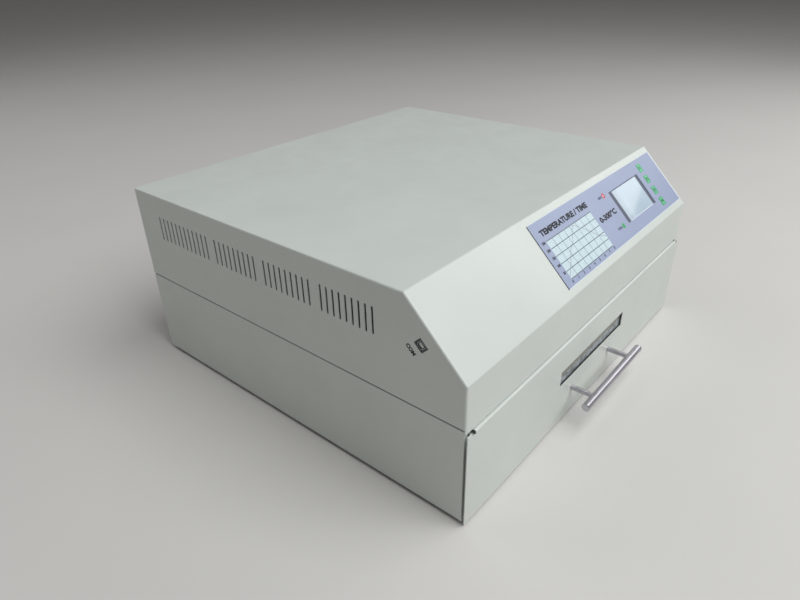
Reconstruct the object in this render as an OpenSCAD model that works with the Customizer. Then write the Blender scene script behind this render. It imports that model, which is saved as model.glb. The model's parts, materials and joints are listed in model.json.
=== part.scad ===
// Benchtop infrared reflow oven. A folded sheet-metal case with a sloped control panel holds a
// heater hood over a drawer, which runs on three-member slides and carries the work on a wire tray.
// +X is right, -Y is the front with the handle, +Z is up, and the origin is at the middle of the base.

/* [Case] */
// Width of the case
case_w = 600; // [590:5:640]
// Depth of the case, from the front lip to the rear panel
case_d = 560; // [555:5:580]
// Height of the case above its bottom edge
case_h = 260; // [256:1:270]
// Horizontal run, and drop, of the 45 degree control slope
slope_run = 77; // [75:0.5:80]
// Height of the cover's bottom edge above the case's bottom edge
seam_z = 129; // [129:0.5:131]
// Thickness of the case sheet
sheet = 1.2; // [1:0.1:1.4]
// Outside radius of the folds
fold_r = 2.5; // [2:0.1:3]
// Height of the rubber feet
foot_h = 5; // [4:0.5:12]

/* [Drawer] */
// How far the drawer's face stands in front of the case
face_proud = 3; // [2:0.5:4]
// Height of the drawer front
face_h = 124; // [120:1:124]
// Outer width of the drawer box
drawer_w = 540; // [520:5:540]
// Outer depth of the drawer box
drawer_d = 431; // [400:1:431]
// Thickness of the ceramic wool lining
wool = 22; // [15:1:24]
// Width of the window
window_w = 187; // [160:1:190]
// Height of the window
window_h = 23.3; // [18:0.1:24]
// Height of the window's centre above the case's bottom edge
window_z = 70; // [68:0.5:72]

/* [Handle] */
// Length of the bar
bar_l = 170; // [150:5:200]
// Diameter of the bar
bar_dia = 11; // [9:0.5:12]
// Distance of the bar's axis in front of the case
bar_reach = 36; // [32:1:40]
// Height of the bar's axis above the case's bottom edge
bar_z = 37.5; // [34:0.5:40]
// Distance between the posts
post_pitch = 112; // [96:1:128]
// Diameter of the posts
post_dia = 7; // [6:0.5:8]

/* [Control panel] */
// Width of the printed panel
overlay_w = 375.5; // [360:0.5:380]
// Length of the printed panel up the slope
overlay_l = 89.5; // [86:0.5:91]
// Width of the display opening
lcd_w = 100; // [96:0.5:102]
// Length of the display opening up the slope
lcd_l = 51; // [50:0.5:54]
// Position of the display's centre along X
lcd_x = 171.2; // [169:0.1:174]
// Width of a key
key_w = 12; // [10:0.5:13]
// Length of a key up the slope
key_l = 13.2; // [11:0.1:14]
// Position of the key column along X
key_x = 241; // [238:0.5:246]
// Distance between keys
key_pitch = 20; // [18:0.5:21]
// How far a key goes in
key_travel = 0.5; // [0.3:0.1:0.6]

/* [Vents] */
// Height of a vent slot
vent_h = 33.7; // [28:0.1:36]
// Width of a vent slot
vent_w = 3; // [2.5:0.1:4]
// Distance between slots
vent_pitch = 9.5; // [9:0.1:9.6]
// Height of the slots' lower ends
vent_z = 195.6; // [192:0.1:200]

/* [Heater] */
// Number of infrared tubes
tube_count = 6; // [4:1:6]
// Outside diameter of a quartz tube
tube_dia = 11; // [10:0.5:12]
// Distance between tubes
tube_pitch = 62; // [56:1:64]

/* [Fans] */
// Depth of both fans
fan_depth = 25; // [20:1:25]
// Number of blades
blade_count = 7; // [5:1:9]

/* [Hidden] */
$fn = 48;
eps = 0.01;

paint = [0.80, 0.82, 0.79];
zinc = [0.72, 0.73, 0.75];
polished = [0.86, 0.87, 0.88];
dark_plastic = [0.10, 0.10, 0.11];
ceramic = [0.93, 0.91, 0.86];
wool_white = [0.90, 0.88, 0.82];
board_green = [0.08, 0.35, 0.20];
copper = [0.72, 0.42, 0.25];
glass_tint = [0.75, 0.82, 0.82];

// Case
slope_z = case_h - slope_run;
pan_h = seam_z - 1.3;
lip_z = seam_z - 5;
pan_front = 1.5;
flange = 12;
rear_inner = case_d - sheet;
half_w = case_w / 2;
foot_r = 11;
foot_stem_r = 4;
foot_x = half_w - 50;
foot_y = [50, case_d - 50];

// Screws: M4 pan heads on the rear
screw_r = 2;
screw_head_r = 3.5;
screw_head_h = 2.4;
screw_side_x = half_w - 7;
screw_side_z = [30, 113, 138, 208];
screw_top_z = case_h - 8;
screw_top_x = [-220, -75, 75, 220];

// Drawer
face_y = -face_proud;
face_back = face_y + sheet;
face_bottom = -2;
face_top = face_bottom + face_h;
bend_r = 2;
notch_x = half_w - 15;
notch_w = 7;
rim_x = half_w - 12;
inner_panel_y = 8;
drawer_y = inner_panel_y + sheet;
drawer_floor = 10;
drawer_top = 119;
drawer_sheet = 1;
tray_z = drawer_floor + 45;
tray_w = 476;
tray_y = [38, 411];
tray_rod = 5;
tray_wire = 2;
tray_cells = [12, 9];
gasket_t = 1.6;
window_glass_t = 3;
window_rim = 8;

// Slides
rail_z = 60;
rail_l = 440;
rail_y = 12;
slide_t = 12.7;
rail_outer_x = drawer_w / 2 + slide_t;
rail_h = [45, 37, 28];
rail_t = 1.3;
rail_gap = 1.8;

// Heater hood
hood_w = 564;
hood_y = [14, 448];
hood_z = [125, 178];
hood_t = 1;
hood_wool = 20;
cavity_w = 512;
cavity_y = [36, 426];
cavity_top = 157;
exhaust_port = [92, 22];
exhaust_port_z = 143;
tube_z = 134;
tube_l = 476;
tube_y0 = cavity_y[0] + (cavity_y[1] - cavity_y[0] - (tube_count - 1) * tube_pitch) / 2;
holder_x = 240;
cap_r = 8;
cap_l = 22;

// Sensors
sensor_x = 80;
sensor_z = 122.5;
sensor_y = [250, 470];
sensor_r = 1.5;

// Rear
exhaust_z = 152;
exhaust_size = 92;
exhaust_pitch = 82.5;
exhaust_bore_r = 43;
cooling_at = [190, 205];
cooling_size = 80;
cooling_pitch = 71.5;
cooling_bore_r = 37;
guard_wire_r = 1.1;
guard_weld = 0.2;
guard_reach = 2 * guard_wire_r + screw_head_h;
inlet_at = [-215, 60];
inlet_flange = [50, 30];
inlet_body = [28, 22];
inlet_recess = [24, 16.5];
inlet_depth = 26;
rocker_at = [-160, 60];
rocker_size = [13, 19.8];
rocker_body = [19.2, 26];

// Electronics
shelf_z = 188;
shelf_x = [-250, 200];
shelf_y = [110, 440];
board_depth = 14;
board_x = [88, 268];
board_s = [12, 98];
board_t = 1.6;
usb_at = [55.5, 207.5];
usb_cut = [13.6, 12];
usb_shell = [12.2, 10.8];
usb_len = 16;
usb_board_x = [-296, -262];
power_board_x = [-240, -80];
power_board_y = [300, 410];
power_board_z = 195;
lamp_x = 105;
lamp_s = [79.5, 30];
lamp_r = 2.4;

// Control panel, along X and up the slope
overlay_size = [overlay_w, overlay_l];
overlay_at = [106.5, 54.3];
lcd_size = [lcd_w, lcd_l];
lcd_at = [lcd_x, 53.9];
screen_size = [85, 49];
screen_shift = [0.6, -0.7];
key_size = [key_w, key_l];
key_top_s = 84;
key_stem = 5.4;
switch_gap = 0.1;

// Vents: number of slots in each group, from the rear
vent_groups = [12, 9, 9, 9];
vent_rear_gap = 52;

handle_reach = bar_reach + bar_dia / 2;
front_y = (handle_reach - case_d - guard_reach) / 2;

// Wire routes, in the case's frame
mains_route = [
    [-215, 535, 62], [-215, 528, 62], [-215, 516, 65], [-214, 504, 74], [-213, 494, 90], [-212, 486, 110],
    [-211, 480, 132], [-210, 474, 152], [-209, 466, 170], [-208, 456, 184], [-206, 444, 194],
    [-204, 432, 199], [-202, 422, 200], [-200, 412, 200]
];
heater_right_route = [
    [-80, 352, 200], [-66, 352, 200], [-40, 353, 198], [0, 355, 194], [40, 356, 192], [90, 356, 192],
    [140, 356, 192], [190, 356, 192], [214, 356, 192], [226, 356, 190], [233, 356, 186], [235, 356, 181],
    [235, 356, hood_z[1]]
];
heater_left_route = [
    [-240, 352, 200], [-248, 352, 200], [-256, 352, 198], [-262, 352, 193], [-265, 352, 187],
    [-266, 352, 181], [-266, 352, hood_z[1]]
];
usb_route = [
    [-256, 57, -23], [-248, 57, -23], [-236, 57, -22], [-214, 57, -21], [-180, 56, -20], [-140, 55, -19],
    [-100, 55, -19], [-60, 55, -19], [-20, 56, -19], [20, 57, -18.5], [50, 57, -18], [70, 57, -17.5],
    [80, 57, -17.5], [88, 57, -17.5]
];

// Frames and shapes

module in_case() {
    translate([0, front_y, foot_h]) children();
}

module slope_frame() {
    translate([0, 0, slope_z]) rotate([45, 0, 0]) children();
}

module box(x, y, z) {
    translate([x[0], y[0], z[0]]) cube([x[1] - x[0], y[1] - y[0], z[1] - z[0]]);
}

module both_sides() {
    children();
    mirror([1, 0, 0]) children();
}

module along_x(width) {
    rotate([90, 0, 90]) linear_extrude(width, center = true) children();
}

module along_y(y) {
    translate([0, y[1], 0]) rotate([90, 0, 0]) linear_extrude(y[1] - y[0]) children();
}

module rod_x(x, r) {
    translate([x[0], 0, 0]) rotate([0, 90, 0]) cylinder(r = r, h = x[1] - x[0]);
}

module rod_y(y, r) {
    translate([0, y[1], 0]) rotate([90, 0, 0]) cylinder(r = r, h = y[1] - y[0]);
}

module plate(size, z) {
    translate([-size.x / 2, -size.y / 2, z[0]]) cube([size.x, size.y, z[1] - z[0]]);
}

module rounded_rect(size, r) {
    translate([-size.x / 2 + r, 0]) square([size.x - 2 * r, size.y]);
    translate([-size.x / 2, r]) square([size.x, size.y - 2 * r]);
    for (side = [-1, 1], z = [r, size.y - r]) translate([side * (size.x / 2 - r), z]) circle(r);
}

function unit(v) = v / norm(v);
function heading(path, i) = unit(path[min(i + 1, len(path) - 1)] - path[max(i - 1, 0)]);
function ring(path, i, r, n, across) =
    let (t = heading(path, i), u = unit(cross(t, across)), v = cross(u, t))
    [for (k = [0:n - 1]) path[i] + r * (cos(360 * k / n) * u + sin(360 * k / n) * v)];

module wire(path, r, across, n = 8) {
    last = len(path) - 1;
    points = [for (i = [0:last]) each ring(path, i, r, n, across)];
    walls = [for (i = [0:last - 1], k = [0:n - 1])
        [i * n + k, i * n + (k + 1) % n, (i + 1) * n + (k + 1) % n, (i + 1) * n + k]];
    start = [for (k = [n - 1:-1:0]) k];
    end = [for (k = [0:n - 1]) last * n + k];
    polyhedron(points, concat([start], walls, [end]));
}

// Case

// Side outline of the cover, set in from the outside by d, with its two front folds rounded
module cover_outline(d, rear) {
    r = fold_r - d;
    t = r * tan(22.5);
    low = [d, slope_z + d - d * sqrt(2)];
    high = [slope_run + d * (sqrt(2) - 1), case_h - d];
    polygon([
        [d, 0], [d, low.y - t], low + [t, t] / sqrt(2), high - [t, t] / sqrt(2), high + [t, 0],
        [rear, case_h - d], [rear, 0]
    ]);
    translate([d + r, low.y - t]) circle(r);
    translate([high.x + t, case_h - d - r]) circle(r);
}

// The case's outer form set in by d, with the folds along its sides rounded too
module folded_case(d, rear) {
    w = case_w - 2 * d;
    r = fold_r - d;
    far = 2 * case_d;
    intersection() {
        along_x(w) cover_outline(d, rear);
        along_y([-1, case_d]) translate([0, -case_h]) rounded_rect([w, 2 * case_h - d], r);
        translate([0, d, -1]) linear_extrude(case_h + 2) rounded_rect([w, far], r);
        slope_frame() along_y([-far, far]) translate([0, -far - d]) rounded_rect([w, far], r);
    }
}

module vent_slots() {
    r = vent_w / 2;
    starts = [for (g = 0, i = 0; g < len(vent_groups); i = i + vent_groups[g] + 1, g = g + 1) i];
    for (g = [0:len(vent_groups) - 1], k = [0:vent_groups[g] - 1])
        translate([case_d - vent_rear_gap - (starts[g] + k) * vent_pitch, vent_z]) {
            translate([-r, r]) square([vent_w, vent_h - vent_w]);
            translate([0, r]) circle(r);
            translate([0, vent_h - r]) circle(r);
        }
}

module key_places() {
    for (i = [0:3]) translate([key_x, key_top_s - i * key_pitch, 0]) children();
}

module case_screw_places() {
    for (side = [-1, 1], z = screw_side_z) translate([side * screw_side_x, 0, z]) children();
    for (x = screw_top_x) translate([x, 0, screw_top_z]) children();
}

module fan_screw_places() {
    for (side = [-1, 1], up = [-1, 1]) {
        translate([side * exhaust_pitch / 2, 0, exhaust_z + up * exhaust_pitch / 2]) children();
        translate([cooling_at[0] + side * cooling_pitch / 2, 0, cooling_at[1] + up * cooling_pitch / 2])
            children();
    }
}

module top_cover() color(paint) in_case() {
    difference() {
        folded_case(0, rear_inner);
        folded_case(sheet, rear_inner - sheet);
        box([-case_w, case_w], [-1, case_d], [-1, lip_z]);
        box([-case_w, case_w], [sheet + 0.1, case_d], [lip_z - 1, seam_z]);
        box([-half_w + flange, half_w - flange], [case_d / 2, case_d], [0, case_h - flange]);
        along_x(case_w + 2) vent_slots();
        slope_frame() {
            translate([lcd_at.x, lcd_at.y, 0]) plate(lcd_size, [-4, 4]);
            key_places() plate(key_size + [0.6, 0.6], [-4, 4]);
            for (s = lamp_s) translate([lamp_x, s, -4]) cylinder(r = lamp_r + 0.1, h = 8);
        }
        translate([-half_w, usb_at[0], usb_at[1]]) rotate([45, 0, 0])
            cube([8, usb_cut[0], usb_cut[1]], center = true);
        case_screw_places() rod_y([rear_inner - 3, case_d], screw_r + 0.2);
    }
    // Inward flanges along the bottom edges, and the front lip's return
    both_sides() box([half_w - flange, half_w - sheet / 2], [4, rear_inner], [seam_z, seam_z + sheet]);
    box([-half_w + 8, half_w - 8], [sheet / 2, 9], [lip_z, lip_z + sheet]);
}

module base_pan() color(paint) in_case() {
    front_return = 6;
    upright = [0.5, pan_h - 0.5];
    difference() {
        along_y([pan_front, rear_inner]) difference() {
            rounded_rect([case_w, pan_h], fold_r);
            translate([0, sheet]) rounded_rect([case_w - 2 * sheet, pan_h - 2 * sheet], fold_r - sheet);
            translate([-half_w + flange, pan_h / 2]) square([case_w - 2 * flange, pan_h]);
        }
        for (side = [-1, 1], y = foot_y) translate([side * foot_x, y, -1])
            cylinder(r = foot_stem_r, h = 4);
    }
    difference() {
        both_sides() {
            box([half_w - front_return, half_w - sheet / 2], [pan_front, pan_front + sheet], upright);
            box([half_w - flange, half_w - sheet / 2], [rear_inner - sheet, rear_inner], upright);
        }
        case_screw_places() rod_y([rear_inner - 3, case_d], screw_r + 0.2);
    }
}

module rear_panel() color(paint) in_case() difference() {
    box([-half_w + 2, half_w - 2], [rear_inner, case_d], [1.5, case_h - 2]);
    translate([0, 0, exhaust_z]) rod_y([rear_inner - 1, case_d + 1], exhaust_bore_r);
    translate([cooling_at[0], 0, cooling_at[1]]) rod_y([rear_inner - 1, case_d + 1], cooling_bore_r);
    case_screw_places() rod_y([rear_inner - 1, case_d + 1], screw_r);
    fan_screw_places() rod_y([rear_inner - 1, case_d + 1], screw_r);
    translate([inlet_at[0], case_d, inlet_at[1]])
        cube([inlet_body[0], 8, inlet_body[1]], center = true);
    translate([rocker_at[0], case_d, rocker_at[1]])
        cube([rocker_body[0], 8, rocker_body[1]], center = true);
}

module pan_head_screw(length, seat) {
    difference() {
        rod_y([seat, seat + screw_head_h], screw_head_r);
        translate([0, seat + screw_head_h, 0]) {
            cube([4, 2, 0.8], center = true);
            cube([0.8, 2, 4], center = true);
        }
    }
    rod_y([seat - length, seat + eps], screw_r);
}

module case_screws() color(zinc) in_case() {
    case_screw_places() pan_head_screw(8, case_d);
    fan_screw_places() pan_head_screw(8, case_d + 2 * guard_wire_r);
}

module feet() color(dark_plastic) in_case()
    for (side = [-1, 1], y = foot_y) translate([side * foot_x, y, 0]) {
        translate([0, 0, -foot_h]) cylinder(r1 = foot_r - 1.5, r2 = foot_r, h = foot_h);
        cylinder(r = foot_stem_r, h = sheet);
        translate([0, 0, sheet]) cylinder(r1 = foot_stem_r + 1.2, r2 = foot_stem_r - 1, h = 3);
    }

// Heater hood

module heater_hood() color(zinc) in_case() {
    ledge = [hood_w / 2 - hood_t, half_w - 3];
    difference() {
        box([-hood_w / 2, hood_w / 2], hood_y, hood_z);
        box([-hood_w / 2 + hood_t, hood_w / 2 - hood_t], [hood_y[0] + hood_t, hood_y[1] - hood_t],
            [0, hood_z[1] - hood_t]);
        translate([0, hood_y[1], exhaust_port_z])
            cube([exhaust_port[0], 8, exhaust_port[1]], center = true);
    }
    // Ledges that rest on the pan's top flanges
    both_sides() box(ledge, [hood_y[0] + 20, hood_y[1] - 20], [pan_h, pan_h + sheet]);
    // Tabs that hold the two sensors behind the hood
    for (side = [-1, 1]) difference() {
        box([side * sensor_x - 8, side * sensor_x + 8],
            [hood_y[1] - hood_t / 2, hood_y[1] + hood_t], [116, 130]);
        translate([side * sensor_x, 0, sensor_z]) rod_y([hood_y[1] - 5, hood_y[1] + 5], sensor_r);
    }
}

module hood_insulation() color(wool_white) in_case() difference() {
    gap = 0.2;
    box([-hood_w / 2 + hood_t + gap, hood_w / 2 - hood_t - gap],
        [hood_y[0] + hood_t + gap, hood_y[1] - hood_t - gap], [hood_z[0] + 1, hood_z[1] - hood_t - gap]);
    box([-cavity_w / 2, cavity_w / 2], cavity_y, [0, cavity_top]);
    translate([0, hood_y[1] - hood_wool / 2, exhaust_port_z])
        cube([exhaust_port[0], hood_wool * 2, exhaust_port[1]], center = true);
}

module reflector() color(polished) in_case() {
    edge = 14;
    t = 0.8;
    top = cavity_top - 0.5;
    x = cavity_w / 2 - 1;
    y = [cavity_y[0] + 1, cavity_y[1] - 1];
    difference() {
        box([-x, x], y, [top - edge, top]);
        box([-x + t, x - t], [y[0] + t, y[1] - t], [0, top - t]);
        translate([0, y[1], exhaust_port_z]) cube([exhaust_port[0], 8, exhaust_port[1]], center = true);
    }
}

module tube_places() {
    for (i = [0:tube_count - 1]) translate([0, tube_y0 + i * tube_pitch, tube_z]) children();
}

module tube_holders() color(zinc) in_case() difference() {
    both_sides() {
        box([holder_x, holder_x + sheet], [cavity_y[0] + 6, cavity_y[1] - 6],
            [tube_z - cap_r - 1, cavity_top - 1.3]);
        box([holder_x - 8, holder_x + sheet / 2], [cavity_y[0] + 6, cavity_y[1] - 6],
            [cavity_top - 1.3 - sheet, cavity_top - 1.3]);
    }
    tube_places() rod_x([-half_w, half_w], cap_r);
}

module quartz_tubes() color(glass_tint) in_case() tube_places() difference() {
    rod_x([-tube_l / 2, tube_l / 2], tube_dia / 2);
    rod_x([-half_w, half_w], tube_dia / 2 - 1.2);
}

module tube_end_caps() color(ceramic) in_case() both_sides() tube_places() difference() {
    union() {
        rod_x([tube_l / 2 - cap_l / 2 + 2, tube_l / 2 + cap_l / 2 - 2], cap_r);
        rod_x([holder_x + sheet, holder_x + sheet + 3], cap_r + 1);
        rod_x([tube_l / 2, tube_l / 2 + 13], 3);
    }
    rod_x([0, tube_l / 2], tube_dia / 2);
}

module exhaust_duct() color(zinc) in_case() {
    half = exhaust_size / 2;
    y = [hood_y[1] + hood_t, rear_inner - fan_depth];
    z = [exhaust_z - half, exhaust_z + half];
    difference() {
        box([-half - sheet, half + sheet], y, [z[0] - sheet, z[1] + sheet]);
        box([-half, half], [y[0] + sheet, y[1] + 1], z);
        translate([0, y[0], exhaust_port_z])
            cube([exhaust_port[0] - 4, 8, exhaust_port[1]], center = true);
    }
}

module thermocouples() color(polished) in_case()
    for (side = [-1, 1]) translate([side * sensor_x, 0, sensor_z]) {
        rod_y(sensor_y, sensor_r);
        rod_y([sensor_y[1], sensor_y[1] + 14], sensor_r + 1.5);
    }

// Slides

// A channel open towards the drawer, with its back at x1
module channel(x, height, t, y) {
    box([x[1] - t, x[1]], y, [rail_z - height / 2, rail_z + height / 2]);
    for (z = [rail_z - height / 2, rail_z + height / 2 - t]) box([x[0], x[1] - t / 2], y, [z, z + t]);
}

module rail_brackets() color(zinc) in_case() both_sides() {
    y = [rail_y + 4, rail_y + rail_l];
    z = [rail_z - rail_h[0] / 2 - 4, rail_z + rail_h[0] / 2 + 4];
    box([rail_outer_x, rail_outer_x + sheet], y, z);
    for (low = [z[0], z[1] - sheet])
        box([rail_outer_x + sheet / 2, half_w - sheet], y, [low, low + sheet]);
}

module outer_rails() color(zinc) in_case() both_sides()
    channel([drawer_w / 2 + 2, rail_outer_x], rail_h[0], rail_t, [rail_y, rail_y + rail_l]);

module middle_rail() {
    x1 = rail_outer_x - rail_t - rail_gap;
    channel([drawer_w / 2 + 2, x1], rail_h[1], rail_t, [rail_y + 4, rail_y + rail_l - 4]);
}

module left_middle_rail() color(polished) in_case() mirror([1, 0, 0]) middle_rail();

module right_middle_rail() color(polished) in_case() middle_rail();

module inner_rails() color(polished) in_case() both_sides() {
    y = [drawer_y, drawer_y + drawer_d - 2];
    x = drawer_w / 2;
    box([x, x + rail_t], y, [rail_z - rail_h[2] / 2, rail_z + rail_h[2] / 2]);
    for (z = [rail_z - rail_h[2] / 2, rail_z + rail_h[2] / 2 - rail_t])
        box([x + rail_t / 2, x + 5.5], y, [z, z + rail_t]);
}

// Drawer

module window_hole(grow, y) {
    box([-window_w / 2 - grow, window_w / 2 + grow], y,
        [window_z - window_h / 2 - grow, window_z + window_h / 2 + grow]);
}

module handle_places() {
    for (side = [-1, 1]) translate([side * post_pitch / 2, 0, bar_z]) children();
}

module drawer_front() color(paint) in_case() {
    rim_z = [6, 116];
    difference() {
        box([-half_w, half_w], [face_y, face_back], [face_bottom, face_top]);
        box([-notch_x, notch_x], [face_y - 1, face_back + 1], [face_top - bend_r, face_top + 1]);
        for (side = [-1, 1]) translate([side * (notch_x + notch_w / 2), face_y, face_top])
            cube([notch_w, 8, 9], center = true);
        window_hole(0, [face_y - 1, face_back + 1]);
        handle_places() rod_y([face_y - 1, face_back + 1], screw_r);
    }
    // Rounded top bend and the flange behind it
    along_x(2 * notch_x) difference() {
        union() {
            intersection() {
                translate([face_y + bend_r, face_top - bend_r]) circle(bend_r);
                translate([face_y, face_top - bend_r]) square(bend_r);
            }
            translate([face_y + bend_r, face_top - sheet]) square([12 - face_y - bend_r, sheet]);
        }
        translate([face_y + bend_r, face_top - bend_r]) circle(bend_r - sheet);
    }
    // Rim that meets the inner panel
    difference() {
        box([-rim_x, rim_x], [face_back - eps, inner_panel_y], rim_z);
        box([-rim_x + sheet, rim_x - sheet], [-10, 20], [rim_z[0] + sheet, rim_z[1] - sheet]);
    }
}

module drawer_inner_panel() color(zinc) in_case() difference() {
    box([-rim_x, rim_x], [inner_panel_y, drawer_y], [4, 118]);
    window_hole(4, [0, 20]);
}

module drawer_box() color(zinc) in_case() {
    x = drawer_w / 2;
    y = [drawer_y, drawer_y + drawer_d];
    difference() {
        box([-x, x], y, [drawer_floor, drawer_top]);
        box([-x + drawer_sheet, x - drawer_sheet], [y[0] + drawer_sheet, y[1] - drawer_sheet],
            [drawer_floor + drawer_sheet, case_h]);
        window_hole(4, [0, 20]);
    }
}

module drawer_insulation() color(wool_white) in_case() {
    gap = 0.2;
    out = drawer_sheet + gap;
    x = drawer_w / 2 - out;
    y = [drawer_y + out, drawer_y + drawer_d - out];
    difference() {
        box([-x, x], y, [drawer_floor + drawer_sheet, drawer_top - 2]);
        box([-x + wool, x - wool], [y[0] + wool, y[1] - wool], [drawer_floor + wool, case_h]);
        window_hole(2, [0, y[0] + wool + 1]);
    }
}

module window_gasket() color(dark_plastic) in_case() difference() {
    window_hole(window_rim, [face_back, face_back + gasket_t]);
    window_hole(0, [face_back - 1, face_back + gasket_t + 1]);
}

module window_glass() color(glass_tint) in_case()
    window_hole(window_rim - 1, [face_back + gasket_t, face_back + gasket_t + window_glass_t]);

module window_retainer() color(zinc) in_case() {
    back = face_back + gasket_t + window_glass_t;
    difference() {
        window_hole(window_rim + 8, [face_back, face_back + sheet]);
        window_hole(window_rim + sheet, [face_back - 1, face_back + sheet + 1]);
    }
    difference() {
        window_hole(window_rim + 2 * sheet, [face_back, back + sheet]);
        window_hole(window_rim + sheet, [face_back - 1, back]);
        window_hole(-1, [back - 1, back + sheet + 1]);
    }
}

module handle_bar() color(polished) in_case() translate([0, -bar_reach, bar_z]) {
    chamfer = 0.8;
    rod_x([-bar_l / 2 + chamfer, bar_l / 2 - chamfer], bar_dia / 2);
    both_sides() translate([bar_l / 2 - chamfer, 0, 0]) rotate([0, 90, 0])
        cylinder(r1 = bar_dia / 2, r2 = bar_dia / 2 - chamfer, h = chamfer);
}

module handle_posts() color(polished) in_case() difference() {
    handle_places() rod_y([-bar_reach, face_y], post_dia / 2);
    translate([0, -bar_reach, bar_z]) rod_x([-bar_l, bar_l], bar_dia / 2);
    handle_places() rod_y([face_y - 12, face_y + 1], screw_r);
}

module handle_screws() color(zinc) in_case() handle_places() {
    rod_y([face_back, face_back + screw_head_h], screw_head_r);
    rod_y([face_y - 10, face_back + eps], screw_r);
}

module tray_rests() color(zinc) in_case() both_sides() {
    x = drawer_w / 2 - drawer_sheet - 0.2 - wool;
    y = [tray_y[0] - 4, tray_y[1] + 4];
    box([x - sheet, x], y, [drawer_floor + wool, tray_z]);
    box([x - flange, x - sheet / 2], y, [tray_z - sheet, tray_z]);
}

module wire_tray() color(polished) in_case() {
    z = tray_z + tray_rod / 2;
    cell = [(tray_w - tray_wire) / tray_cells[0], (tray_y[1] - tray_y[0] - tray_wire) / tray_cells[1]];
    for (y = tray_y) translate([0, y, z]) rod_x([-tray_w / 2, tray_w / 2], tray_rod / 2);
    both_sides() translate([tray_w / 2, 0, z]) rod_y(tray_y, tray_rod / 2);
    for (x = [-1, 1], y = tray_y) translate([x * tray_w / 2, y, z]) sphere(tray_rod / 2);
    translate([0, 0, z - tray_wire / 2]) linear_extrude(tray_wire) difference() {
        translate([-tray_w / 2, tray_y[0]]) square([tray_w, tray_y[1] - tray_y[0]]);
        for (i = [0:tray_cells[0] - 1], j = [0:tray_cells[1] - 1])
            translate([-tray_w / 2 + tray_wire + i * cell.x, tray_y[0] + tray_wire + j * cell.y])
                square([cell.x - tray_wire, cell.y - tray_wire]);
    }
}

// Control panel

module panel_overlay() color([0.62, 0.66, 0.80]) in_case() slope_frame() difference() {
    translate([overlay_at.x, overlay_at.y, 0]) plate(overlay_size, [0, 0.6]);
    translate([lcd_at.x, lcd_at.y, 0]) plate(lcd_size, [-4, 4]);
    key_places() plate(key_size + [0.3, 0.3], [-4, 4]);
    for (s = lamp_s) translate([lamp_x, s, -4]) cylinder(r = lamp_r + 0.1, h = 8);
}

module lcd_bezel() color(dark_plastic) in_case() slope_frame() translate([lcd_at.x, lcd_at.y, 0])
    difference() {
        plate(lcd_size + [8, 8], [-8, -sheet - 0.2]);
        translate(screen_shift) plate(screen_size, [-20, 0]);
    }

module lcd_screen() color([0.85, 0.90, 0.95]) in_case() slope_frame()
    translate(lcd_at + screen_shift) plate(screen_size, [-8, -4]);

module indicator_lamps() color([0.8, 0.2, 0.2]) in_case() slope_frame()
    for (s = lamp_s) translate([lamp_x, s, 0]) {
        translate([0, 0, -board_depth + board_t]) cylinder(r = lamp_r, h = board_depth - board_t);
        intersection() {
            translate([0, 0, -0.8]) sphere(lamp_r);
            cylinder(r = lamp_r, h = 4);
        }
    }

module control_board() color(board_green) in_case() slope_frame() {
    box(board_x, board_s, [-board_depth, -board_depth + board_t]);
    box([board_x[0], board_x[0] + 10], [50, 64], [-board_depth - 7, -board_depth + eps]);
    box([board_x[0] + 30, board_x[0] + 44], [40, 54], [-board_depth - 1.5, -board_depth + eps]);
    box([board_x[0] + 60, board_x[0] + 110], [70, 80], [-board_depth - 9, -board_depth + eps]);
}

module key_switches() color(dark_plastic) in_case() slope_frame()
    key_places() translate([0, 0, -board_depth + board_t]) {
        plate([6, 6], [0, 3.5]);
        cylinder(r = 1.7, h = board_depth - board_t - key_stem - key_travel - switch_gap);
    }

module board_standoffs() color(zinc) in_case() {
    slope_frame() for (x = [board_x[0] + 5, board_x[1] - 5], s = [board_s[0] + 5, board_s[1] - 5])
        translate([x, s, -board_depth + board_t]) cylinder(r = 2.5, h = board_depth - board_t - sheet);
    for (x = power_board_x + [6, -6], y = power_board_y + [6, -6])
        translate([x, y, shelf_z + sheet]) cylinder(r = 3, h = power_board_z - shelf_z - sheet);
}

module key(i) color([0.35, 0.78, 0.50]) in_case() slope_frame()
    translate([key_x, key_top_s - i * key_pitch, 0]) {
        plate(key_size, [-1.6, 0.8]);
        plate(key_size + [3, 3], [-2.4, -1.6]);
        translate([0, 0, -key_stem]) cylinder(r = 2, h = key_stem - 1.9);
    }

module usb_frame() {
    translate([-half_w, usb_at[0], usb_at[1]]) rotate([45, 0, 0]) children();
}

module usb_socket() color(polished) in_case() usb_frame() {
    wall = 0.8;
    difference() {
        translate([0.2, -usb_shell[0] / 2, -usb_shell[1] / 2])
            cube([usb_len, usb_shell[0], usb_shell[1]]);
        translate([-1, -usb_shell[0] / 2 + wall, -usb_shell[1] / 2 + wall])
            cube([usb_len - 1, usb_shell[0] - 2 * wall, usb_shell[1] - 2 * wall]);
    }
    translate([1.4, -2.8, -1.6]) cube([usb_len - 2, 5.6, 3.2]);
}

module usb_board() color(board_green) in_case() slope_frame() {
    top = (usb_at[1] - slope_z - usb_at[0]) / sqrt(2) - usb_shell[1] / 2;
    box(usb_board_x, [38, 76], [top - board_t, top]);
    box([usb_board_x[1] - 4, usb_board_x[1] + 6], [50, 64], [top - eps, top + 8]);
}

module usb_lead() color(dark_plastic) in_case() slope_frame() wire(usb_route, 2, [0, 1, 0]);

// Electronics

module electronics_shelf() color(zinc) in_case() {
    box(shelf_x, shelf_y, [shelf_z, shelf_z + sheet]);
    for (x = [shelf_x[0], shelf_x[1] - sheet])
        box([x, x + sheet], shelf_y, [hood_z[1], shelf_z + sheet / 2]);
}

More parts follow.
